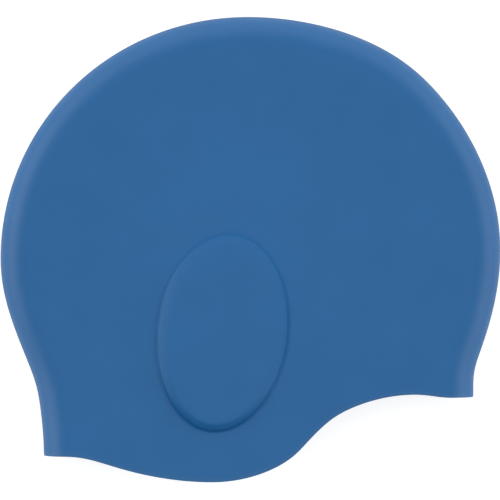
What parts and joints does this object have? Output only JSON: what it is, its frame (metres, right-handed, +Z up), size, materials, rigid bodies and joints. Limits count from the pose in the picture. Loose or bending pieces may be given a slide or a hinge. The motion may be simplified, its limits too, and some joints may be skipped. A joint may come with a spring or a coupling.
{
  "type": "swim cap",
  "caption": "Moulded silicone swim cap with a raised oval ear pocket on each side and a low-cut hem over the ears, lying flat on its side.",
  "frame": {"origin": "centre of the bottom of the bounding box, on the surface that the flat cap lies on", "axes": "+X towards the brow end, +Y towards the top of the crown, +Z up through the flat cap, from one side of the head to the other"},
  "size_m": [0.22, 0.2042, 0.024],
  "materials": {
    "silicone": "satin moulded silicone, mid blue"
  },
  "bodies": {
    "root": {"cap_shell": "silicone"}
  },
  "joints": []
}
